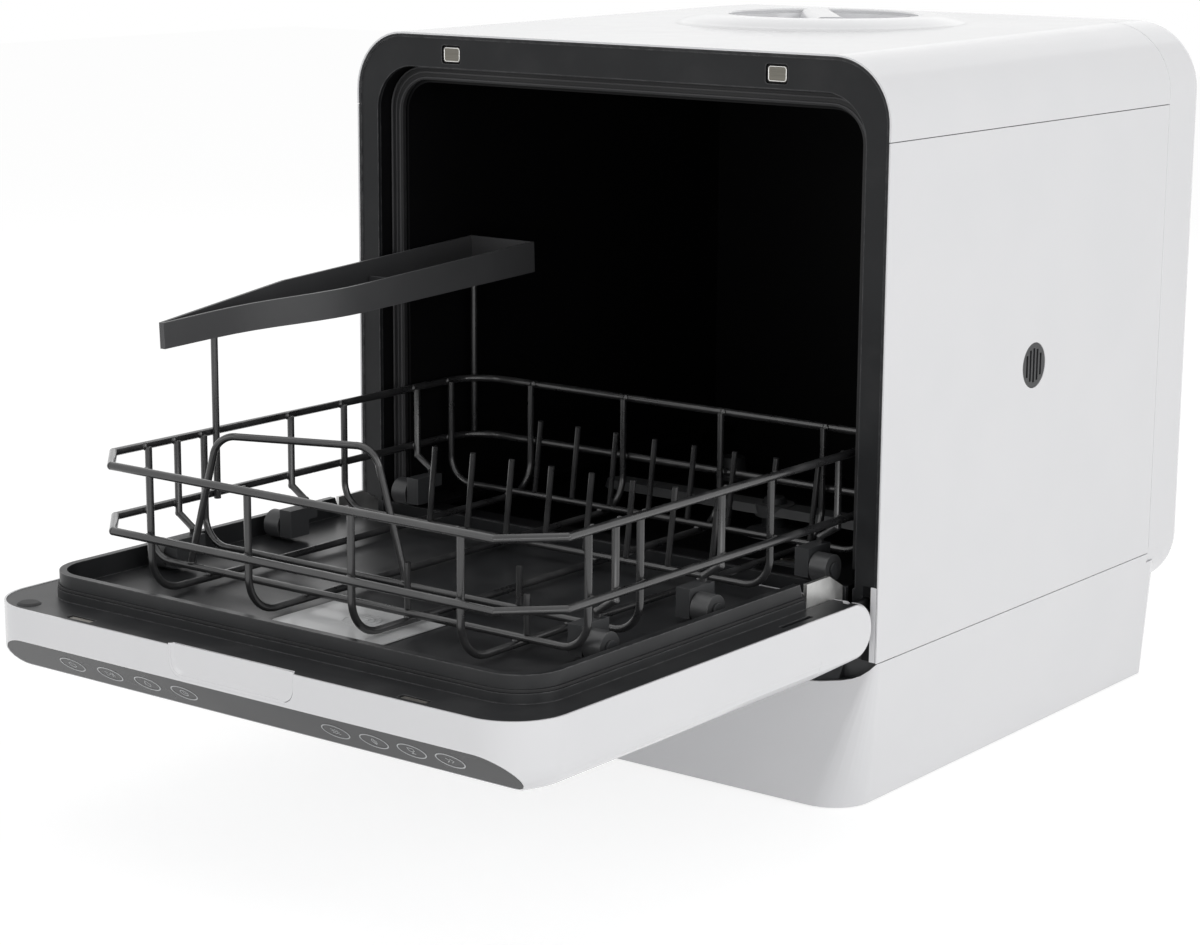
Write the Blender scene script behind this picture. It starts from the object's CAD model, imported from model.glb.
"""Looks for the countertop dishwasher: finishes, softened edges, welds, pictograms and studio.

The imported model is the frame. Every CAD piece keeps its place and shape, gets its edges softened
by modifiers and its finish from node-built materials. Pieces made here ride on the model's bodies.
Lengths are in millimetres until mesh code turns them into metres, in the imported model's own frame.
"""

from __future__ import annotations

import functools
import logging
import math
from dataclasses import dataclass
from enum import Enum

import bmesh
import bpy
from mathutils import Matrix, Vector


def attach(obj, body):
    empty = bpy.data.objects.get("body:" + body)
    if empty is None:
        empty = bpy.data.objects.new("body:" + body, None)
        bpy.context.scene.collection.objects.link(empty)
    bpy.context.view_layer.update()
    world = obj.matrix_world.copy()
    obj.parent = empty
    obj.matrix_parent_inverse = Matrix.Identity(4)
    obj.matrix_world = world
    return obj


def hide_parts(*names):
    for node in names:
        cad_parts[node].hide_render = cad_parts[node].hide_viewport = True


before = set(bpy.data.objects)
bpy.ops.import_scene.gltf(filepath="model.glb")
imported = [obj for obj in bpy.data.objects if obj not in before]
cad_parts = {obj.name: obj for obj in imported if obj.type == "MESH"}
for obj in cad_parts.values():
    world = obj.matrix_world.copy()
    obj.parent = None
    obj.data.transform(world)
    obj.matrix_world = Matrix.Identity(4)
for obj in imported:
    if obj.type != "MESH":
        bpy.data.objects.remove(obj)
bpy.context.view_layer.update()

log = logging.getLogger("dishwasher")
MM = 0.001
FRONT = -43.3
Colour = tuple[float, float, float]
Point = tuple[float, float, float]


class Body(Enum):
    """The moving bodies that pieces made here ride on."""

    CABINET = "cabinet"
    DOOR = "door"
    BASKET = "basket"
    LID = "dispenser_lid"
    TRAY = "cutlery_tray"


# ---------------------------------------------------------------- shader groups


class ShaderTree:
    """A node tree with short calls for adding nodes and joining them."""

    def __init__(self, tree: bpy.types.NodeTree) -> None:
        """Wraps a material's or a group's node tree."""
        self.tree = tree

    def add(self, kind: str, settings: dict | None = None, **inputs: object) -> bpy.types.Node:
        """Adds a node.

        Args:
            kind: the node's type name, without the ShaderNode prefix.
            settings: properties of the node, such as its operation.
            inputs: socket values, or sockets to link; spaces in names are underscores.

        Returns:
            The new node.
        """
        node = self.tree.nodes.new("ShaderNode" + kind)
        for name, value in (settings or {}).items():
            setattr(node, name, value)
        for name, value in inputs.items():
            key = int(name[1:]) if name[0] == "i" and name[1:].isdigit() else name.replace("_", " ")
            self.feed(node.inputs[key], value)
        return node

    def feed(self, socket: bpy.types.NodeSocket, value: object) -> None:
        """Links a socket, or sets its value.

        Args:
            socket: the input to fill.
            value: another node's output, a number or a colour.
        """
        if isinstance(value, bpy.types.NodeSocket):
            self.tree.links.new(value, socket)
        elif isinstance(value, tuple) and len(value) == 3 and socket.type == "RGBA":
            socket.default_value = (*value, 1.0)
        else:
            socket.default_value = value

    def math(self, operation: str, a: object, b: object = 0.0,
             clamp: bool = False) -> bpy.types.NodeSocket:
        """Adds a Math node and returns its value."""
        node = self.add("Math", {"operation": operation, "use_clamp": clamp}, i0=a, i1=b)
        return node.outputs[0]

    def ramp(self, value: object, low: float, high: float, to_low: float = 0.0,
             to_high: float = 1.0) -> bpy.types.NodeSocket:
        """Maps a value smoothly from one range to another.

        Args:
            value: what is mapped.
            low: the value that becomes to_low.
            high: the value that becomes to_high.
            to_low: the first end of the new range.
            to_high: the second end of the new range.

        Returns:
            The mapped value.
        """
        node = self.add("MapRange", {"interpolation_type": "SMOOTHSTEP"}, i0=value, i1=low, i2=high,
                        i3=to_low, i4=to_high)
        return node.outputs[0]

    def mix(self, factor: object, a: object, b: object) -> bpy.types.NodeSocket:
        """Mixes two colours.

        Args:
            factor: 0 gives the first colour and 1 the second.
            a: the first colour.
            b: the second colour.

        Returns:
            The mixed colour.
        """
        node = self.add("Mix", {"data_type": "RGBA"})
        self.feed(node.inputs[0], factor)
        self.feed(node.inputs[6], a)
        self.feed(node.inputs[7], b)
        return node.outputs[2]


class EffectGroup:
    """A shared shader effect, built once as a node group."""

    name = "effect"
    inlets: dict[str, float] = {}
    outlets: tuple[str, ...] = ()
    _built: dict[str, bpy.types.NodeTree] = {}

    @classmethod
    def tree(cls) -> bpy.types.NodeTree:
        """Makes the group on the first call and keeps it for the next ones.

        Returns:
            The group's node tree.
        """
        if cls.name not in EffectGroup._built:
            group = bpy.data.node_groups.new(cls.name, "ShaderNodeTree")
            for name, value in cls.inlets.items():
                socket = group.interface.new_socket(name, in_out="INPUT", socket_type="NodeSocketFloat")
                socket.default_value = value
            for name in cls.outlets:
                group.interface.new_socket(name, in_out="OUTPUT", socket_type="NodeSocketFloat")
            shader = ShaderTree(group)
            source = group.nodes.new("NodeGroupInput")
            sink = group.nodes.new("NodeGroupOutput")
            for name, value in cls.wire(shader, source).items():
                group.links.new(value, sink.inputs[name])
            EffectGroup._built[cls.name] = group
        return EffectGroup._built[cls.name]

    @classmethod
    def wire(cls, shader: ShaderTree, source: bpy.types.Node) -> dict[str, bpy.types.NodeSocket]:
        """Builds the inside of the group.

        Args:
            shader: the group's wrapped tree.
            source: the node that holds the group's inputs.

        Returns:
            The sockets that feed the group's outputs, by name.
        """
        raise NotImplementedError

    @classmethod
    def place(cls, shader: ShaderTree, **values: float) -> bpy.types.Node:
        """Places the group in a material.

        Args:
            shader: the material's wrapped tree.
            values: that material's own input values; spaces in names are underscores.

        Returns:
            The group node.
        """
        node = shader.tree.nodes.new("ShaderNodeGroup")
        node.node_tree = cls.tree()
        for name, value in values.items():
            shader.feed(node.inputs[name.replace("_", " ")], value)
        return node


class Grain(EffectGroup):
    """Spark-eroded mould grain over a slow wave of the moulding, with a slow drift of tone."""

    name = "Mould grain"
    inlets = {"Scale": 900.0, "Wave scale": 9.0, "Wave": 0.5}
    outlets = ("Height", "Drift")

    @classmethod
    def wire(cls, shader: ShaderTree, source: bpy.types.Node) -> dict[str, bpy.types.NodeSocket]:
        """Fine noise for the grain and broad noise for the wave and the drift.

        Args:
            shader: the group's wrapped tree.
            source: the node that holds the group's inputs.

        Returns:
            The sockets that feed the group's outputs, by name.
        """
        place = shader.add("TexCoord").outputs["Object"]
        fine = shader.add("TexNoise", Vector=place, Scale=source.outputs["Scale"], Detail=3.0,
                          Roughness=0.6)
        slow = shader.add("TexNoise", Vector=place, Scale=source.outputs["Wave scale"], Detail=2.0,
                          Roughness=0.45)
        lift = shader.math("MULTIPLY", slow.outputs[0], source.outputs["Wave"])
        height = shader.math("ADD", fine.outputs[0], lift)
        return {"Height": height, "Drift": shader.ramp(slow.outputs[0], 0.3, 0.7)}


class Brushing(EffectGroup):
    """Fine parallel scratches of a brushed sheet."""

    name = "Brushing"
    inlets = {"Along X": 12.0, "Across": 2600.0}
    outlets = ("Height", "Tone")

    @classmethod
    def wire(cls, shader: ShaderTree, source: bpy.types.Node) -> dict[str, bpy.types.NodeSocket]:
        """Noise squeezed across the brushing and stretched along it.

        Args:
            shader: the group's wrapped tree.
            source: the node that holds the group's inputs.

        Returns:
            The sockets that feed the group's outputs, by name.
        """
        place = shader.add("TexCoord").outputs["Object"]
        squeeze = shader.add("CombineXYZ", X=source.outputs["Along X"], Y=source.outputs["Across"],
                             Z=source.outputs["Across"])
        spread = shader.add("VectorMath", {"operation": "MULTIPLY"}, i0=place, i1=squeeze.outputs[0])
        noise = shader.add("TexNoise", Vector=spread.outputs[0], Scale=1.0, Detail=4.0, Roughness=0.7)
        return {"Height": noise.outputs[0], "Tone": shader.ramp(noise.outputs[0], 0.25, 0.75)}


class Settling(EffectGroup):
    """Dust and dried water film, more of it on faces that look up and in patches."""

    name = "Settled film"
    inlets = {"Amount": 0.3, "Patch scale": 22.0}
    outlets = ("Mask",)

    @classmethod
    def wire(cls, shader: ShaderTree, source: bpy.types.Node) -> dict[str, bpy.types.NodeSocket]:
        """Patches of noise weighted by how far the face looks up.

        Args:
            shader: the group's wrapped tree.
            source: the node that holds the group's inputs.

        Returns:
            The sockets that feed the group's outputs, by name.
        """
        place = shader.add("TexCoord").outputs["Object"]
        facing = shader.add("SeparateXYZ", Vector=shader.add("NewGeometry").outputs["Normal"])
        upward = shader.ramp(facing.outputs[2], -0.2, 1.0, 0.35, 1.0)
        patch = shader.add("TexNoise", Vector=place, Scale=source.outputs["Patch scale"], Detail=5.0,
                           Roughness=0.62)
        cloud = shader.ramp(patch.outputs[0], 0.42, 0.72)
        mask = shader.math("MULTIPLY", shader.math("MULTIPLY", cloud, upward), source.outputs["Amount"])
        return {"Mask": mask}


class EdgeRub(EffectGroup):
    """Edges that hands and dishes rub smooth, found by how far a rounded normal turns."""

    name = "Edge rub"
    inlets = {"Radius": 0.0012, "Breakup scale": 160.0}
    outlets = ("Mask",)

    @classmethod
    def wire(cls, shader: ShaderTree, source: bpy.types.Node) -> dict[str, bpy.types.NodeSocket]:
        """Compares a rounded normal with the true one, and breaks the line up with noise.

        Args:
            shader: the group's wrapped tree.
            source: the node that holds the group's inputs.

        Returns:
            The sockets that feed the group's outputs, by name.
        """
        rounded = shader.add("Bevel", {"samples": 4}, Radius=source.outputs["Radius"])
        plain = shader.add("NewGeometry").outputs["True Normal"]
        turn = shader.add("VectorMath", {"operation": "DOT_PRODUCT"}, i0=rounded.outputs[0], i1=plain)
        edge = shader.ramp(turn.outputs["Value"], 0.995, 0.86)
        place = shader.add("TexCoord").outputs["Object"]
        noise = shader.add("TexNoise", Vector=place, Scale=source.outputs["Breakup scale"], Detail=4.0)
        broken = shader.ramp(noise.outputs[0], 0.35, 0.65, 0.35, 1.0)
        return {"Mask": shader.math("MULTIPLY", edge, broken)}


# ---------------------------------------------------------------- finishes


def new_material(name: str) -> tuple[bpy.types.Material, ShaderTree, bpy.types.Node]:
    """Makes an empty node material.

    Args:
        name: the material's name.

    Returns:
        The material, its wrapped tree and its Principled BSDF node.
    """
    material = bpy.data.materials.new(name)
    material.use_nodes = True
    material.node_tree.nodes.clear()
    shader = ShaderTree(material.node_tree)
    surface = shader.add("BsdfPrincipled")
    output = shader.add("OutputMaterial")
    shader.feed(output.inputs["Surface"], surface.outputs[0])
    return material, shader, surface


@dataclass(frozen=True)
class Moulding:
    """A moulded plastic, rubber or coated surface."""

    name: str
    tone: Colour
    drift_tone: Colour
    roughness: float
    spread: float = 0.06
    grain: float = 0.00004
    grain_scale: float = 900.0
    wave: float = 0.5
    wave_scale: float = 9.0
    film: float = 0.2
    film_tone: Colour = (0.55, 0.55, 0.54)
    rub: float = 0.0
    rub_tone: Colour = (0.1, 0.1, 0.1)
    coat: float = 0.0
    coat_roughness: float = 0.08
    specular: float = 0.5
    bump: float = 0.35
    film_roughness: float = 0.35

    def material(self) -> bpy.types.Material:
        """Builds the node material.

        Returns:
            The material: drifting tone and roughness, settled film, rubbed edges and grain.
        """
        material, shader, surface = new_material(self.name)
        grain = Grain.place(shader, Scale=self.grain_scale, Wave_scale=self.wave_scale, Wave=self.wave)
        film = Settling.place(shader, Amount=self.film)
        colour = shader.mix(grain.outputs["Drift"], self.tone, self.drift_tone)
        colour = shader.mix(film.outputs["Mask"], colour, self.film_tone)
        rough = shader.math("MULTIPLY_ADD", grain.outputs["Drift"], self.spread)
        rough.node.inputs[2].default_value = self.roughness
        dull = shader.math("MULTIPLY", film.outputs["Mask"], self.film_roughness)
        rough = shader.math("ADD", rough, dull, clamp=True)
        if self.rub:
            edge = shader.math("MULTIPLY", EdgeRub.place(shader).outputs["Mask"], self.rub)
            colour = shader.mix(edge, colour, self.rub_tone)
        shader.feed(surface.inputs["Base Color"], colour)
        shader.feed(surface.inputs["Roughness"], rough)
        relief = shader.add("Bump", Strength=self.bump, Distance=self.grain, Height=grain.outputs["Height"])
        shader.feed(surface.inputs["Normal"], relief.outputs[0])
        surface.inputs["Specular IOR Level"].default_value = self.specular
        surface.inputs["Coat Weight"].default_value = self.coat
        surface.inputs["Coat Roughness"].default_value = self.coat_roughness
        return material


@dataclass(frozen=True)
class Sheet:
    """A bare metal surface, brushed or plated."""

    name: str
    tone: Colour
    dark_tone: Colour
    roughness: float
    along: float = 12.0
    across: float = 2600.0
    relief: float = 0.00003
    film: float = 0.15
    film_tone: Colour = (0.4, 0.39, 0.37)
    film_roughness: float = 0.3
    spread: float = 0.12
    bump: float = 0.4

    def material(self) -> bpy.types.Material:
        """Builds the node material.

        Returns:
            The material: brushed relief and tone under a thin settled film.
        """
        material, shader, surface = new_material(self.name)
        brush = Brushing.place(shader, Along_X=self.along, Across=self.across)
        film = Settling.place(shader, Amount=self.film)
        colour = shader.mix(brush.outputs["Tone"], self.dark_tone, self.tone)
        colour = shader.mix(film.outputs["Mask"], colour, self.film_tone)
        rough = shader.math("MULTIPLY_ADD", brush.outputs["Tone"], self.spread)
        rough.node.inputs[2].default_value = self.roughness
        dull = shader.math("MULTIPLY", film.outputs["Mask"], self.film_roughness)
        rough = shader.math("ADD", rough, dull, clamp=True)
        shader.feed(surface.inputs["Base Color"], colour)
        shader.feed(surface.inputs["Roughness"], rough)
        relief = shader.add("Bump", Strength=self.bump, Distance=self.relief,
                            Height=brush.outputs["Height"])
        shader.feed(surface.inputs["Normal"], relief.outputs[0])
        surface.inputs["Metallic"].default_value = 1.0
        return material


@dataclass(frozen=True)
class Laminate:
    """A circuit board: solder-masked laminate with tracks and pads."""

    name: str
    mask: Colour = (0.015, 0.10, 0.035)
    track: Colour = (0.04, 0.19, 0.07)
    cell_scale: float = 140.0
    track_edge: tuple[float, float] = (0.02, 0.05)
    roughness: float = 0.45
    mask_gloss: float = 0.15
    relief: float = 0.00005
    bump: float = 0.5

    def material(self) -> bpy.types.Material:
        """Builds the node material.

        Returns:
            The material: tracks between the cells of the solder mask.
        """
        material, shader, surface = new_material(self.name)
        place = shader.add("TexCoord").outputs["Object"]
        cells = shader.add("TexVoronoi", {"feature": "DISTANCE_TO_EDGE"}, Vector=place,
                           Scale=self.cell_scale)
        line = shader.ramp(cells.outputs["Distance"], *self.track_edge)
        shader.feed(surface.inputs["Base Color"], shader.mix(line, self.track, self.mask))
        rough = shader.math("MULTIPLY_ADD", line, -self.mask_gloss)
        rough.node.inputs[2].default_value = self.roughness
        shader.feed(surface.inputs["Roughness"], rough)
        relief = shader.add("Bump", Strength=self.bump, Distance=self.relief, Height=line)
        shader.feed(surface.inputs["Normal"], relief.outputs[0])
        return material


GLOSS_WHITE = Moulding("Gloss white moulding", (0.80, 0.80, 0.815), (0.785, 0.787, 0.803), 0.17, 0.05,
                       grain=0.00002, grain_scale=260.0, wave=3.0, wave_scale=14.0, film=0.05,
                       film_tone=(0.66, 0.66, 0.65), coat=0.35, coat_roughness=0.06, bump=0.22)
CHARCOAL = Moulding("Charcoal moulding", (0.036, 0.0375, 0.040), (0.031, 0.032, 0.034), 0.40, 0.08,
                    grain=0.00005, grain_scale=1300.0, film=0.10, film_tone=(0.16, 0.16, 0.16),
                    rub=0.35, rub_tone=(0.10, 0.10, 0.105))
BEZEL = Moulding("Bezel moulding", (0.0165, 0.0172, 0.0186), (0.0140, 0.0147, 0.0160), 0.36, 0.10,
                 grain=0.00005, grain_scale=1300.0, film=0.18, film_tone=(0.12, 0.12, 0.12),
                 rub=0.7, rub_tone=(0.16, 0.16, 0.165), specular=0.19)
PANEL = Moulding("Inner panel moulding", (0.0210, 0.0217, 0.0232), (0.0180, 0.0187, 0.0200), 0.28, 0.12,
                 grain=0.00004, grain_scale=1000.0, wave=1.5, wave_scale=16.0, film=0.14,
                 film_tone=(0.13, 0.13, 0.13), rub=0.7, rub_tone=(0.17, 0.17, 0.175), specular=0.34)
LINER = Moulding("Black liner", (0.0035, 0.0035, 0.004), (0.0025, 0.0025, 0.003), 0.42, 0.10,
                 grain=0.00003, grain_scale=700.0, film=0.04, film_tone=(0.03, 0.03, 0.03), specular=0.12)
ELASTOMER = Moulding("Door elastomer", (0.012, 0.012, 0.013), (0.009, 0.009, 0.010), 0.55, 0.10,
                     grain=0.00006, grain_scale=1500.0, film=0.25, film_tone=(0.08, 0.08, 0.08),
                     rub=0.3, rub_tone=(0.05, 0.05, 0.052), specular=0.4)
NYLON = Moulding("Nylon coat", (0.016, 0.016, 0.017), (0.021, 0.021, 0.022), 0.25, 0.10,
                 grain=0.00012, grain_scale=520.0, wave=1.6, wave_scale=70.0, film=0.26,
                 film_tone=(0.16, 0.16, 0.16), coat=0.6, coat_roughness=0.12)
TRAY = Moulding("Charcoal tray moulding", (0.070, 0.0705, 0.073), (0.060, 0.0605, 0.063), 0.36, 0.08,
                grain=0.00005, grain_scale=1300.0, film=0.12, film_tone=(0.2, 0.2, 0.2),
                rub=0.35, rub_tone=(0.12, 0.12, 0.125))
GREY = Moulding("Grey moulding", (0.095, 0.097, 0.100), (0.082, 0.084, 0.087), 0.36, 0.10,
                grain=0.00004, grain_scale=1100.0, film=0.2, film_tone=(0.25, 0.25, 0.25),
                rub=0.4, rub_tone=(0.2, 0.2, 0.2))
ROLLER = Moulding("Roller moulding", (0.050, 0.051, 0.053), (0.043, 0.044, 0.046), 0.34, 0.10,
                  grain=0.00004, grain_scale=1100.0, film=0.15, film_tone=(0.18, 0.18, 0.18),
                  rub=0.4, rub_tone=(0.14, 0.14, 0.14))
SMOKED = Moulding("Smoked control strip", (0.025, 0.026, 0.028), (0.021, 0.022, 0.024), 0.26, 0.06,
                  grain=0.00001, grain_scale=500.0, film=0.10, film_tone=(0.2, 0.2, 0.2),
                  specular=0.2, bump=0.15)
PRINT = Moulding("Pale key print", (0.60, 0.61, 0.62), (0.50, 0.51, 0.52), 0.5, 0.1, grain=0.00002,
                 grain_scale=2200.0, film=0.25, film_tone=(0.2, 0.2, 0.2))
LID_GREY = Moulding("Light grey lid", (0.56, 0.565, 0.57), (0.50, 0.505, 0.51), 0.28, 0.1,
                    grain=0.00004, grain_scale=900.0, film=0.2, film_tone=(0.75, 0.75, 0.74), coat=0.2)
MOTOR = Moulding("Motor paint", (0.14, 0.145, 0.15), (0.11, 0.115, 0.12), 0.45, 0.12, grain=0.00008,
                 grain_scale=800.0, film=0.5, film_tone=(0.3, 0.29, 0.27), rub=0.6, rub_tone=(0.4, 0.4, 0.4))
TANK = Moulding("Blown tank", (0.62, 0.65, 0.68), (0.55, 0.58, 0.61), 0.42, 0.1, grain=0.00010,
                grain_scale=300.0, wave=3.0, wave_scale=20.0, film=0.3, film_tone=(0.5, 0.5, 0.48))
LIP = Moulding("Gasket lip", (0.030, 0.030, 0.032), (0.024, 0.024, 0.026), 0.42, 0.10,
               grain=0.00003, grain_scale=1500.0, film=0.1, film_tone=(0.08, 0.08, 0.08))
STRIKE = Sheet("Brushed strike plate", (0.20, 0.19, 0.165), (0.12, 0.115, 0.10), 0.38)
BLACKENED = Sheet("Blackened bracket steel", (0.030, 0.030, 0.031), (0.020, 0.020, 0.021), 0.45, film=0.05)
BRIGHT = Sheet("Polished rim", (0.80, 0.79, 0.77), (0.66, 0.65, 0.63), 0.22)
STAINLESS = Sheet("Brushed stainless", (0.50, 0.48, 0.44), (0.36, 0.345, 0.32), 0.26)
ZINC = Sheet("Zinc plated sheet", (0.70, 0.70, 0.69), (0.58, 0.58, 0.57), 0.34, along=60.0, across=60.0,
             relief=0.00005)
BOARD = Laminate("Circuit board")


# ---------------------------------------------------------------- modelling aids


SHARP_DEGREES = 32
WELD_REACH = 1e-6
FLAT_DEGREES = 0.4
Outline = list[tuple[float, float]]

def shading_group() -> bpy.types.NodeTree:
    """Geometry nodes that drop stored normals and shade smooth except across sharp edges.

    Returns:
        The group, made on the first call.
    """
    group = bpy.data.node_groups.get("Shade by angle")
    if group:
        return group
    group = bpy.data.node_groups.new("Shade by angle", "GeometryNodeTree")
    group.interface.new_socket("Geometry", in_out="INPUT", socket_type="NodeSocketGeometry")
    limit = group.interface.new_socket("Angle", in_out="INPUT", socket_type="NodeSocketFloat")
    limit.default_value = math.radians(SHARP_DEGREES)
    group.interface.new_socket("Geometry", in_out="OUTPUT", socket_type="NodeSocketGeometry")
    nodes, links = group.nodes, group.links
    source, sink = nodes.new("NodeGroupInput"), nodes.new("NodeGroupOutput")
    drop = nodes.new("GeometryNodeRemoveAttribute")
    drop.inputs["Name"].default_value = "custom_normal"
    faces = nodes.new("GeometryNodeSetShadeSmooth")
    edges = nodes.new("GeometryNodeSetShadeSmooth")
    edges.domain = "EDGE"
    edges.inputs["Shade Smooth"].default_value = False
    angle = nodes.new("GeometryNodeInputMeshEdgeAngle")
    over = nodes.new("FunctionNodeCompare")
    links.new(source.outputs[0], drop.inputs[0])
    links.new(drop.outputs[0], faces.inputs[0])
    links.new(faces.outputs[0], edges.inputs[0])
    links.new(angle.outputs[0], over.inputs[0])
    links.new(source.outputs[1], over.inputs[1])
    links.new(over.outputs[0], edges.inputs["Selection"])
    links.new(edges.outputs[0], sink.inputs[0])
    return group


@dataclass(frozen=True)
class Softening:
    """How far a piece's edges are rounded, in millimetres."""

    width: float = 0.5
    segments: int = 2
    angle: float = 40.0

    def apply(self, piece: bpy.types.Object) -> None:
        """Welds, flattens, bevels and smooth-shades a piece with modifiers only."""
        weld = piece.modifiers.new("Weld", "WELD")
        weld.merge_threshold = WELD_REACH
        if self.width > 0:
            flat = piece.modifiers.new("Flatten", "DECIMATE")
            flat.decimate_type = "DISSOLVE"
            flat.angle_limit = math.radians(FLAT_DEGREES)
            bevel = piece.modifiers.new("Soft edges", "BEVEL")
            bevel.width = self.width * MM
            bevel.segments = self.segments
            bevel.limit_method = "ANGLE"
            bevel.angle_limit = math.radians(self.angle)
        shade = piece.modifiers.new("Shading", "NODES")
        shade.node_group = shading_group()
        if self.width > 0:
            even = piece.modifiers.new("Flat faces stay flat", "WEIGHTED_NORMAL")
            even.mode = "FACE_AREA"
            even.weight = 80
            even.keep_sharp = True


class MeshKit:
    """Collects mesh parts in millimetres, in the row frame, and makes one piece of them."""

    def __init__(self) -> None:
        """Starts with nothing."""
        self.mesh = bmesh.new()

    def blob(self, centre: Point, radii: Point, rings: int = 8) -> None:
        """Adds an ellipsoid with its poles along Z."""
        place = Matrix.Translation(Vector(centre)) @ Matrix.Diagonal((*radii, 1.0))
        bmesh.ops.create_uvsphere(self.mesh, u_segments=2 * rings, v_segments=rings, radius=1.0,
                                  matrix=place)

    def sweep(self, path: list[Vector], profile: Outline, closed: bool = False,
              up: Vector = Vector((0, 0, 1))) -> None:
        """Sweeps a closed profile along a path.

        Args:
            path: points of the path.
            profile: (side, up) offsets of the section, going round it.
            closed: whether the path joins its own start.
            up: the direction that the profile's second number follows.
        """
        rings = []
        count = len(path)
        for i, point in enumerate(path):
            before = path[i - 1] if closed or i else path[0]
            after = path[(i + 1) % count] if closed or i < count - 1 else path[-1]
            run = (after - before).normalized()
            side = run.cross(up).normalized()
            lift = side.cross(run).normalized()
            rings.append([self.mesh.verts.new(point + side * a + lift * b) for a, b in profile])
        size = len(profile)
        for i in range(count if closed else count - 1):
            one, two = rings[i], rings[(i + 1) % count]
            for k in range(size):
                self.mesh.faces.new((one[k], one[(k + 1) % size], two[(k + 1) % size], two[k]))
        if not closed:
            self.mesh.faces.new(rings[0][::-1])
            self.mesh.faces.new(rings[-1])

    def slab(self, outline: Outline, y_front: float, y_back: float) -> None:
        """Extrudes an outline along Y.

        Args:
            outline: its (X, Z) corners.
            y_front: where it starts.
            y_back: where it ends.
        """
        near = [self.mesh.verts.new((x, y_front, z)) for x, z in outline]
        far = [self.mesh.verts.new((x, y_back, z)) for x, z in outline]
        self.mesh.faces.new(near)
        self.mesh.faces.new(far[::-1])
        size = len(outline)
        for k in range(size):
            self.mesh.faces.new((near[k], far[k], far[(k + 1) % size], near[(k + 1) % size]))

    def finish(self, name: str, body: Body, material: bpy.types.Material, slot: str,
               softening: Softening | None = None) -> bpy.types.Object:
        """Turns what was collected into a piece that rides on a body.

        Args:
            name: the piece's name.
            body: the body it moves with.
            material: its finish.
            slot: the record's material slot it belongs to.
            softening: edge rounding, or None for plain smooth shading.

        Returns:
            The new object.
        """
        bmesh.ops.recalc_face_normals(self.mesh, faces=self.mesh.faces)
        bmesh.ops.scale(self.mesh, vec=(MM, MM, MM), verts=self.mesh.verts)
        data = bpy.data.meshes.new(name)
        self.mesh.to_mesh(data)
        self.mesh.free()
        piece = bpy.data.objects.new(name, data)
        bpy.context.scene.collection.objects.link(piece)
        data.materials.append(material)
        (softening or Softening(width=0.0)).apply(piece)
        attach(piece, body.value)
        log.info("%s: %d faces on %s", name, len(data.polygons), body.value)
        return piece


def at(x: float, y: float, z: float) -> Vector:
    """A point given from the cabinet's front plane, as a point of the row frame."""
    return Vector((x, y + FRONT, z))


def arc(centre: tuple[float, float], radius: float, start: float, end: float, steps: int) -> Outline:
    """Points of an arc in a plane, with angles in degrees."""
    angles = [math.radians(start + (end - start) * i / steps) for i in range(steps + 1)]
    return [(centre[0] + radius * math.cos(a), centre[1] + radius * math.sin(a)) for a in angles]


def half_round(width: float, proud: float, sunk: float) -> Outline:
    """Section of a bead: half an ellipse that stands proud, with a foot sunk into what it sits on."""
    crown = [(width * math.cos(math.radians(a)), proud * math.sin(math.radians(a)))
             for a in range(0, 181, 20)]
    return crown + [(-width, -sunk), (width, -sunk)]


# ---------------------------------------------------------------- sub-assemblies


Finish = Moulding | Sheet | Laminate


@functools.cache
def cloth(finish: Finish) -> bpy.types.Material:
    """The material of a finish, built on its first use."""
    return finish.material()


@dataclass(frozen=True)
class Dress:
    """What one CAD node wears."""

    node: str
    finish: Finish
    softening: Softening = Softening()

    def put_on(self) -> None:
        """Gives the node its finish and softens its edges."""
        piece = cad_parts[self.node]
        piece.data.materials.clear()
        piece.data.materials.append(cloth(self.finish))
        self.softening.apply(piece)
        log.info("%s: %s", self.node, self.finish.name)


CRISP = Softening(0.25, 2)
SOFT = Softening(0.6, 3)
PLAIN = Softening(0.0)


@dataclass
class CabinetShell:
    """Outer shell, base, feet, side vent and screws."""

    def build(self) -> None:
        """Dresses the shell."""
        for dress in (
            Dress("top_cover", GLOSS_WHITE, SOFT), Dress("side_panels", GLOSS_WHITE, CRISP),
            Dress("rear_cover", GLOSS_WHITE, SOFT), Dress("base_shell", GLOSS_WHITE, SOFT),
            Dress("base_sill", CHARCOAL, CRISP), Dress("bottom_plate", GREY, CRISP),
            Dress("rubber_feet", ELASTOMER, SOFT), Dress("side_vent", CHARCOAL, CRISP),
            Dress("cabinet_screws", ZINC, CRISP), Dress("cord_gland", ELASTOMER, CRISP),
        ):
            dress.put_on()


@dataclass
class WaterSide:
    """Fill well and cap, tank, valves, pumps, heater, hoses, board and fan."""

    def build(self) -> None:
        """Dresses the fill well and the works."""
        for dress in (
            Dress("inlet_well", GLOSS_WHITE, SOFT), Dress("inlet_cap", GLOSS_WHITE, SOFT),
            Dress("fill_duct", GREY, CRISP), Dress("water_tank", TANK, SOFT),
            Dress("fan_housing", GREY, CRISP), Dress("fan_rotor", GREY, CRISP),
            Dress("wash_pump", MOTOR, CRISP), Dress("drain_pump", MOTOR, CRISP),
            Dress("flow_heater", STAINLESS, CRISP), Dress("pump_hoses", ELASTOMER, PLAIN),
            Dress("inlet_valve", CHARCOAL, CRISP), Dress("drain_port", CHARCOAL, CRISP),
            Dress("power_board", BOARD, CRISP),
        ):
            dress.put_on()


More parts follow.
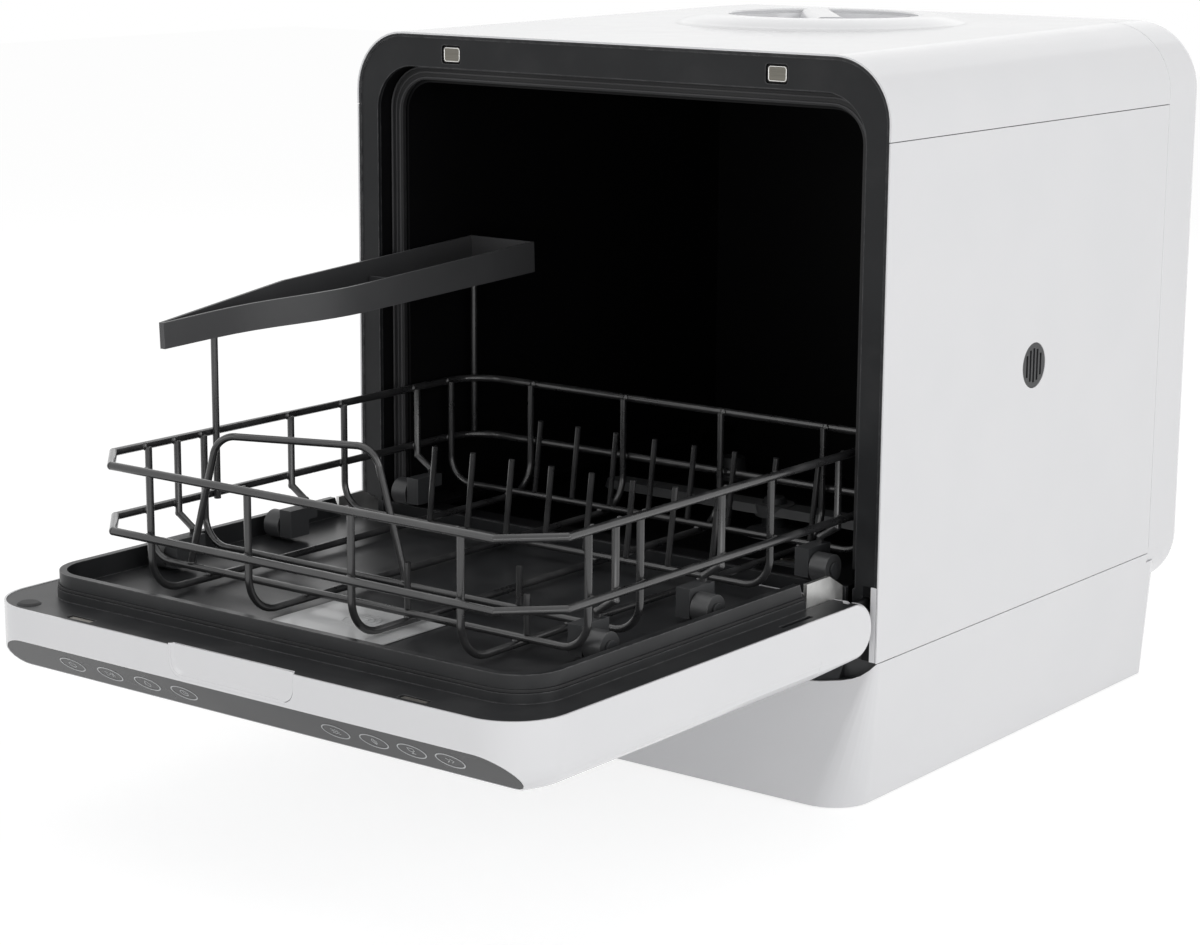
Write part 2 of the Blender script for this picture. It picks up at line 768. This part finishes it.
@dataclass
class Mouth:
    """Bezel, tub, gasket and the strike plates of the latch."""

    bead_y: float = 14.4
    inner_x: float = 184.8
    outer_x: float = 191.3
    inner_top: float = 435.6
    outer_top: float = 442.3
    foot_z: float = 152.5
    strike_x: float = 128.0
    strike_z: float = 452.5
    strike_y: float = 1.9
    strike_half: tuple[float, float] = (7.3, 5.3)
    strike_corner: float = 2.2
    inner_corner: float = 24.8
    outer_corner: float = 28.8
    inner_lip: tuple[float, float] = (0.8, 0.36)
    outer_lip: tuple[float, float] = (0.8, 1.1)
    land_x: float = 188.0
    land_top: float = 439.2
    land_corner: float = 26.6
    land: tuple[float, float] = (0.7, 0.22)
    lip_sunk: float = 0.3
    surround: tuple[float, float, float] = (0.0, 0.55, 0.10)
    rim: tuple[float, float, float] = (0.95, 0.34, 0.28)
    rim_sunk: float = 0.2
    return_x: tuple[float, float] = (204.5, 208.5)
    return_z: tuple[float, float] = (99.8, 146.8)
    return_y: tuple[float, float] = (0.0, 1.2)
    recess_x: tuple[float, float, float] = (198.8, 203.3, 204.4)
    recess_step: tuple[float, float] = (122.5, 140.6)
    recess_y: float = 0.6
    recess_gap: float = 0.4

    def bead(self, kit: MeshKit, half: float, top: float, corner: float, size: tuple[float, float]) -> None:
        """Adds one lip of the gasket, running up one side, over the top and down the other.

        Args:
            kit: collects the mesh.
            half: half of the lip's width across the mouth.
            top: height of its upper run.
            corner: radius of its corners.
            size: half of the lip's own width, and how far it stands out of the gasket.
        """
        turn = [(-(half - corner) - corner * math.cos(a), top - corner + corner * math.sin(a))
                for a in (math.radians(90 * i / 8) for i in range(9))]
        run = [(-half, self.foot_z)] + turn
        run += [(-x, z) for x, z in reversed(run)]
        kit.sweep([at(x, self.bead_y, z) for x, z in run], half_round(*size, self.lip_sunk),
                  up=Vector((0, -1, 0)))

    def gasket_lips(self) -> None:
        """Builds the two sealing lips and the flat land between them."""
        kit = MeshKit()
        self.bead(kit, self.inner_x, self.inner_top, self.inner_corner, self.inner_lip)
        self.bead(kit, self.outer_x, self.outer_top, self.outer_corner, self.outer_lip)
        self.bead(kit, self.land_x, self.land_top, self.land_corner, self.land)
        kit.finish("gasket_lips", Body.CABINET, cloth(LIP), "soft_rubber")

    def strike_ring(self, kit: MeshKit, inset: float, width: float, proud: float) -> None:
        """Adds a rounded ring round each of the two strike plates.

        Args:
            kit: collects the mesh.
            inset: how far inside the plate's pocket the ring's middle runs.
            width: half of the ring's width.
            proud: how far it stands out.
        """
        wide, high = self.strike_half[0] - inset, self.strike_half[1] - inset
        corner = self.strike_corner - 0.6 * inset
        profile = half_round(width, proud, self.rim_sunk)
        for side in (-1, 1):
            loop: Outline = []
            for sx, sz, turn in ((1, -1, -90), (1, 1, 0), (-1, 1, 90), (-1, -1, 180)):
                centre = (side * self.strike_x + sx * (wide - corner),
                          self.strike_z + sz * (high - corner))
                loop += arc(centre, corner, turn, turn + 90, 6)
            kit.sweep([at(x, self.strike_y, z) for x, z in loop], profile, True, up=Vector((0, -1, 0)))

    def strike_frames(self) -> None:
        """Builds the dark surround and the bright pressed rim of each strike plate."""
        dark, bright = MeshKit(), MeshKit()
        self.strike_ring(dark, *self.surround)
        self.strike_ring(bright, *self.rim)
        dark.finish("strike_surrounds", Body.CABINET, cloth(LINER), "tub_liner")
        bright.finish("strike_frames", Body.CABINET, cloth(BRIGHT), "stainless")

    def hinge_returns(self) -> None:
        """Builds the white return and the dark recess beside each hinge, below the bezel's leg."""
        white, dark = MeshKit(), MeshKit()
        inner, edge = self.return_x
        foot, head = self.return_z
        near, step, far = self.recess_x
        low, high = self.recess_step
        front, back = self.return_y
        start = foot + self.recess_gap
        strip = [(edge, foot), (edge, head), (inner, head), (inner, foot)]
        recess = [(far, start), (far, head), (near, head), (near, high), (step, high), (step, low),
                  (near, low), (near, start)]
        for side in (-1, 1):
            white.slab([(side * x, z) for x, z in strip], front + FRONT, back + FRONT)
            dark.slab([(side * x, z) for x, z in recess], self.recess_y + FRONT, back + FRONT)
        white.finish("hinge_returns", Body.CABINET, cloth(GLOSS_WHITE), "shell", CRISP)
        dark.finish("hinge_recesses", Body.CABINET, cloth(LINER), "tub_liner")

    def build(self) -> None:
        """Dresses the mouth, adds the gasket's lips, the strike plates' rims and the hinge returns."""
        for dress in (
            Dress("front_bezel", BEZEL, Softening(0.5, 3)), Dress("wash_tub", LINER, Softening(0.8, 3)),
            Dress("mouth_gasket", ELASTOMER, CRISP), Dress("strike_plates", STRIKE, CRISP),
            Dress("sump_bowl", LINER, CRISP), Dress("filter_mesh", STAINLESS, CRISP),
            Dress("filter_cup", GREY, CRISP), Dress("spray_post", CHARCOAL, CRISP),
            Dress("spray_arm", GREY, SOFT), Dress("float_switch", CHARCOAL, CRISP),
        ):
            dress.put_on()
        self.gasket_lips()
        self.strike_frames()
        self.hinge_returns()


@dataclass
class Door:
    """Door shell, inner panel with its rim, grip, dispenser, latch and hinges."""

    grip_half: float = 47.7
    grip_low: float = 124.3
    grip_top: float = 142.7
    grip_face: float = -342.0
    grip_depth: float = 1.3
    panel_top: float = 141.8
    scoop_steps: int = 8
    scoop_run: float = 3.6
    scoop_tail: float = 8.0
    scoop_corner: float = 8.6
    pad_back: float = 1.5
    ledge_y: tuple[float, float] = (1.4, 2.8)
    ledge_inset: float = 0.7
    ridge: tuple[float, float, float] = (0.95, 0.38, 0.3)
    ridge_end: float = 6.0

    def grip_scoop(self) -> None:
        """Builds the shallow finger scoop in the door's front edge, which runs out to the right."""
        kit = MeshKit()
        loops: list[list[bmesh.types.BMVert]] = []
        for i in range(self.scoop_steps + 1):
            part = i / self.scoop_steps
            inset = self.scoop_run * part
            depth = self.grip_depth * part * part * (3 - 2 * part)
            left, low = -self.grip_half + inset, self.grip_low + inset
            right = self.grip_half - self.scoop_tail * inset
            near, far = self.scoop_corner - 0.5 * inset, self.scoop_corner + 1.7 * inset
            outline = [(left, self.grip_top)] + arc((left + near, low + near), near, 180, 270, 10)
            outline += arc((right - far, low + far), far, 270, 360, 10) + [(right, self.grip_top)]
            loops.append([kit.mesh.verts.new(at(x, self.grip_face + depth, z)) for x, z in outline])
        for one, two in zip(loops, loops[1:]):
            for k in range(len(one) - 1):
                kit.mesh.faces.new((one[k], one[k + 1], two[k + 1], two[k]))
        kit.mesh.faces.new(loops[-1])
        rear = self.grip_face + self.pad_back + FRONT
        back = [kit.mesh.verts.new((v.co.x, rear, v.co.z)) for v in loops[0]]
        for k in range(len(back) - 1):
            kit.mesh.faces.new((loops[0][k], back[k], back[k + 1], loops[0][k + 1]))
        kit.mesh.faces.new(back)
        first = [loop[0] for loop in loops]
        last = [loop[-1] for loop in reversed(loops)]
        kit.mesh.faces.new(first + last + [back[-1], back[0]])
        reach = self.grip_half - self.ledge_inset
        ledge = [(-reach, self.panel_top), (reach, self.panel_top), (reach, self.grip_top),
                 (-reach, self.grip_top)]
        near_y, far_y = (self.grip_face + y + FRONT for y in self.ledge_y)
        kit.slab(ledge, near_y, far_y)
        ridge = [(-self.grip_half, self.grip_top)]
        ridge += arc((-self.grip_half + self.scoop_corner, self.grip_low + self.scoop_corner),
                     self.scoop_corner, 180, 270, 10)
        ridge += [(self.grip_half - self.ridge_end, self.grip_low)]
        kit.sweep([at(x, self.grip_face, z) for x, z in ridge], half_round(*self.ridge),
                  up=Vector((0, -1, 0)))
        piece = kit.finish("grip_scoop", Body.DOOR, cloth(GLOSS_WHITE), "shell", Softening(0.2, 2))
        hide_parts("grip_pad")

    def build(self) -> None:
        """Dresses the door and its hinges."""
        for dress in (
            Dress("door_shell", GLOSS_WHITE, SOFT), Dress("door_panel", PANEL, Softening(0.5, 3)),
            Dress("rim_seal", ELASTOMER, CRISP), Dress("grip_pad", GLOSS_WHITE, PLAIN),
            Dress("dispenser_cup", CHARCOAL, CRISP), Dress("dispenser_lid", LID_GREY, CRISP),
            Dress("latch_tongues", STAINLESS, CRISP), Dress("panel_plug", ELASTOMER, CRISP),
            Dress("hinge_arms", ZINC, CRISP), Dress("hinge_brackets", BLACKENED, CRISP),
            Dress("hinge_pins", ZINC, CRISP), Dress("hinge_springs", ZINC, PLAIN),
        ):
            dress.put_on()
        self.grip_scoop()


class Sign(Enum):
    """The generic pictograms on the keys, as strokes in millimetres about each key's centre."""

    POWER = "power"
    START = "start"
    DROP = "drop"
    CLOCK = "clock"
    WAVES = "waves"
    LEAF = "leaf"
    GLASS = "glass"
    FAST = "fast"


Stroke = tuple[Outline, bool]


def sign_strokes(sign: Sign) -> list[Stroke]:
    """Lines of a pictogram.

    Args:
        sign: which pictogram.

    Returns:
        Strokes, each a list of points and whether it closes.
    """
    drop = [(0, 3.1)] + arc((0, -0.6), 2.1, 30, -210, 12)
    wave = [[(-2.8 + 0.7 * i, 0.55 * math.sin(i * math.pi / 2) + dz) for i in range(9)]
            for dz in (-1.7, 0, 1.7)]
    lines: dict[Sign, list[Stroke]] = {
        Sign.POWER: [(arc((0, 0), 2.5, 125, 415, 20), False), ([(0, 0.6), (0, 3.1)], False)],
        Sign.START: [([(-3.1, -2.2), (-3.1, 2.2), (0.4, 0)], True), ([(1.7, -2.1), (1.7, 2.1)], False),
                     ([(3.1, -2.1), (3.1, 2.1)], False)],
        Sign.DROP: [(drop, True)],
        Sign.CLOCK: [(arc((0, 0), 2.7, 0, 345, 23), True), ([(0, 1.7), (0, 0), (1.3, -0.8)], False)],
        Sign.WAVES: [(points, False) for points in wave],
        Sign.LEAF: [(arc((-1.4, 0), 3.1, -58, 58, 10) + arc((1.8, 0), 3.1, 122, 238, 10), True),
                    ([(0.2, -3.2), (0.2, 1.2)], False)],
        Sign.GLASS: [([(-2, 2.8), (2, 2.8)] + arc((0, 1.2), 2.0, 0, -180, 10), True),
                     ([(0, -0.8), (0, -2.7)], False), ([(-1.5, -2.7), (1.5, -2.7)], False)],
        Sign.FAST: [([(-2.6, -2), (-0.4, 0), (-2.6, 2)], False),
                    ([(0.3, -2), (2.5, 0), (0.3, 2)], False)],
    }
    return lines[sign]


@dataclass
class ControlStrip:
    """Smoked strip along the door's front, with eight touch keys."""

    centres: tuple[float, ...] = (-140, -108, -77, -47, 70, 98, 125, 152)
    middle: tuple[float, float] = (-332.0, 111.0)
    rise: tuple[float, float] = (20.0, 22.0)
    line: float = 0.22
    thickness: float = 0.12
    sunk: float = 0.05
    signs: tuple[Sign, ...] = tuple(Sign)

    def pictograms(self) -> None:
        """Builds the printed signs in the middle of the keys, on the slanted face."""
        kit = MeshKit()
        half, lift = self.line, self.thickness
        profile = [(-half, -self.sunk), (half, -self.sunk), (half, lift), (-half, lift)]
        span = math.hypot(*self.rise)
        back, up = self.rise[0] / span, self.rise[1] / span
        y, z = self.middle
        for centre, sign in zip(self.centres, self.signs):
            for points, closed in sign_strokes(sign):
                path = [at(centre + a, y - back * b, z + up * b) for a, b in points]
                kit.sweep(path, profile, closed, up=Vector((0, -up, -back)))
        kit.finish("key_signs", Body.DOOR, cloth(PRINT), "key_print")

    def build(self) -> None:
        """Dresses the strip and adds the signs."""
        for dress in (Dress("control_lens", SMOKED, CRISP), Dress("touch_keys", PRINT, PLAIN),
                      Dress("display_board", BOARD, CRISP)):
            dress.put_on()
        self.pictograms()


@dataclass
class Basket:
    """Wire basket with its welds, tips, brackets and rollers."""

    origin_y: float = -290.0
    long_x: tuple[float, ...] = (-120, -40, 40, 120)
    cross_y: tuple[float, ...] = (52.5, 100, 230, 340)
    rail_z: tuple[float, ...] = (183, 223)
    side_y: tuple[float, ...] = (52.5, 77, 100, 179, 230, 304, 340)
    end_y: tuple[float, ...] = (2.4, 367.6)
    hoop_feet: tuple[tuple[float, float], ...] = ((-135.5, 52.5), (-3.0, 100.0))
    long_blob: Point = (2.5, 2.5, 1.5)
    end_blob: Point = (2.4, 1.5, 2.7)
    side_blob: Point = (1.5, 2.4, 2.7)
    foot_blob: Point = (2.9, 2.9, 1.3)
    cross_z: float = 150.8
    foot_z: float = 155.4
    side_x: float = 173.2
    rings: int = 6

    def place(self, x: float, y: float, z: float) -> Point:
        """A point given from the basket's front rail."""
        return tuple(at(x, self.origin_y + y, z))

    def welds(self) -> None:
        """Builds the flattened weld beads where wires cross."""
        kit = MeshKit()
        for x in self.long_x:
            for y in self.cross_y:
                kit.blob(self.place(x, y, self.cross_z), self.long_blob, self.rings)
            for y in self.end_y:
                for z in self.rail_z:
                    kit.blob(self.place(x, y, z), self.end_blob, self.rings)
        for side in (-self.side_x, self.side_x):
            for y in self.side_y:
                for z in self.rail_z:
                    kit.blob(self.place(side, y, z), self.side_blob, self.rings)
        for x, y in self.hoop_feet:
            kit.blob(self.place(x, y, self.foot_z), self.foot_blob, self.rings)
        kit.finish("basket_welds", Body.BASKET, cloth(NYLON), "wire_coat")

    def build(self) -> None:
        """Dresses the basket and adds the welds."""
        for dress in (
            Dress("basket_rails", NYLON, PLAIN), Dress("basket_uprights", NYLON, PLAIN),
            Dress("basket_floor", NYLON, PLAIN), Dress("plate_tines", NYLON, PLAIN),
            Dress("glass_hoop", NYLON, PLAIN), Dress("tray_posts", NYLON, PLAIN),
            Dress("roller_brackets", CHARCOAL, CRISP), Dress("front_rollers", ROLLER, SOFT),
            Dress("middle_rollers", ROLLER, SOFT), Dress("rear_rollers", ROLLER, SOFT),
            Dress("cutlery_tray", TRAY, SOFT),
        ):
            dress.put_on()
        self.welds()


# ---------------------------------------------------------------- studio


@dataclass(frozen=True)
class SoftLamp:
    """A soft rectangular lamp: its place, what it faces, its size in metres and its watts."""

    name: str
    place: Point
    target: Point
    size: tuple[float, float]
    power: float

    def build(self) -> None:
        """Hangs the lamp."""
        data = bpy.data.lights.new(self.name, "AREA")
        data.shape = "RECTANGLE"
        data.size, data.size_y = self.size
        data.energy = self.power
        lamp = bpy.data.objects.new(self.name, data)
        lamp.location = self.place
        aim = Vector(self.target) - Vector(self.place)
        lamp.rotation_euler = aim.to_track_quat("-Z", "Y").to_euler()
        bpy.context.scene.collection.objects.link(lamp)


@dataclass
class Studio:
    """Plain floor, white surroundings and soft lamps."""

    floor_size: float = 6.0
    glow: float = 0.75
    floor_tone: float = 0.42
    bounce: float = 0.9
    ambient: float = 0.55
    lamps: tuple[SoftLamp, ...] = (
        SoftLamp("lamp_above", (-0.3, -0.5, 2.2), (0.0, 0.0, 0.2), (1.5, 1.5), 4.5),
        SoftLamp("lamp_behind", (-0.9, 2.1, 1.45), (0.0, 0.0, 0.3), (2.6, 1.5), 3.3),
        SoftLamp("lamp_right", (2.3, 0.0, 0.9), (0.1, 0.1, 0.2), (1.2, 1.2), 11.0),
        SoftLamp("lamp_front", (-1.0, -2.4, 1.0), (0.0, 0.0, 0.2), (1.2, 1.0), 4.5),
        SoftLamp("lamp_low", (1.5, -1.9, 0.3), (0.1, 0.0, 0.12), (2.0, 0.5), 7.5),
    )

    def floor(self) -> None:
        """Builds the floor, which stays white for the camera and keeps the object's shadow."""
        mesh = bmesh.new()
        bmesh.ops.create_grid(mesh, x_segments=1, y_segments=1, size=self.floor_size)
        data = bpy.data.meshes.new("floor")
        mesh.to_mesh(data)
        mesh.free()
        piece = bpy.data.objects.new("floor", data)
        bpy.context.scene.collection.objects.link(piece)
        material = bpy.data.materials.new("Pale floor")
        material.use_nodes = True
        material.node_tree.nodes.clear()
        shader = ShaderTree(material.node_tree)
        seen = self.seen_rays(shader)
        matt = shader.add("BsdfDiffuse", Color=(self.floor_tone,) * 3)
        bounce = shader.add("BsdfDiffuse", Color=(self.bounce,) * 3)
        glow = shader.add("Emission", Color=(1.0, 1.0, 1.0), Strength=self.glow)
        lit = shader.add("AddShader", i0=matt.outputs[0], i1=glow.outputs[0])
        both = shader.add("MixShader", i0=seen, i1=bounce.outputs[0], i2=lit.outputs[0])
        output = shader.add("OutputMaterial")
        shader.feed(output.inputs["Surface"], both.outputs[0])
        data.materials.append(material)

    @staticmethod
    def seen_rays(shader: ShaderTree) -> bpy.types.NodeSocket:
        """Finds the rays that show the background: camera, glossy and transmission rays.

        Args:
            shader: the wrapped tree of the floor or the world.

        Returns:
            One for those rays and zero for the rest.
        """
        path = shader.add("LightPath")
        seen = shader.math("MAXIMUM", path.outputs["Is Camera Ray"], path.outputs["Is Glossy Ray"])
        return shader.math("MAXIMUM", seen, path.outputs["Is Transmission Ray"])

    def surroundings(self) -> None:
        """Builds a world that is white to look at and dimmer as light."""
        world = bpy.data.worlds.new("Studio")
        bpy.context.scene.world = world
        world.use_nodes = True
        world.node_tree.nodes.clear()
        shader = ShaderTree(world.node_tree)
        seen = self.seen_rays(shader)
        white = shader.add("Background", Color=(1.0, 1.0, 1.0), Strength=1.0)
        soft = shader.add("Background", Color=(1.0, 1.0, 1.0), Strength=self.ambient)
        both = shader.add("MixShader", i0=seen, i1=soft.outputs[0], i2=white.outputs[0])
        output = shader.add("OutputWorld")
        shader.feed(output.inputs["Surface"], both.outputs[0])

    def build(self) -> None:
        """Builds the floor, the surroundings and the lamps."""
        self.floor()
        self.surroundings()
        for lamp in self.lamps:
            lamp.build()
        log.info("studio: floor, surroundings and %d lamps", len(self.lamps))


@dataclass
class Viewpoint:
    """The camera: its place, its axes, its lens and the small shift of its frame."""

    place: Point = (1.07158, -1.45699, 0.57462)
    right: Point = (0.79236825, 0.61001577, 0.00577194)
    up: Point = (-0.13114776, 0.16109631, 0.9781862)
    forward: Point = (-0.59577917, 0.77584066, -0.20764981)
    lens: float = 84.19
    sensor: float = 36.0
    nearest: float = 0.05
    shift: tuple[float, float] = (0.01193, -0.00987)

    def build(self) -> None:
        """Makes the camera and sets it as the scene's."""
        data = bpy.data.cameras.new("camera")
        data.sensor_width = self.sensor
        data.sensor_fit = "HORIZONTAL"
        data.lens = self.lens
        data.shift_x, data.shift_y = self.shift
        data.clip_start = self.nearest
        camera = bpy.data.objects.new("camera", data)
        turn = Matrix((self.right, self.up, tuple(-v for v in self.forward))).transposed()
        camera.matrix_world = Matrix.Translation(self.place) @ turn.to_4x4()
        bpy.context.scene.collection.objects.link(camera)
        bpy.context.scene.camera = camera
        log.info("camera: %.1f mm lens", self.lens)


def main() -> None:
    """Builds the camera, every sub-assembly and the studio, in order."""
    logging.basicConfig(level=logging.INFO, format="%(message)s")
    Viewpoint().build()
    for part in (CabinetShell(), WaterSide(), Mouth(), Door(), ControlStrip(), Basket(), Studio()):
        part.build()
        log.info("%s done", type(part).__name__)
    bpy.context.scene.view_settings.view_transform = "Standard"


if __name__ == "__main__":
    main()
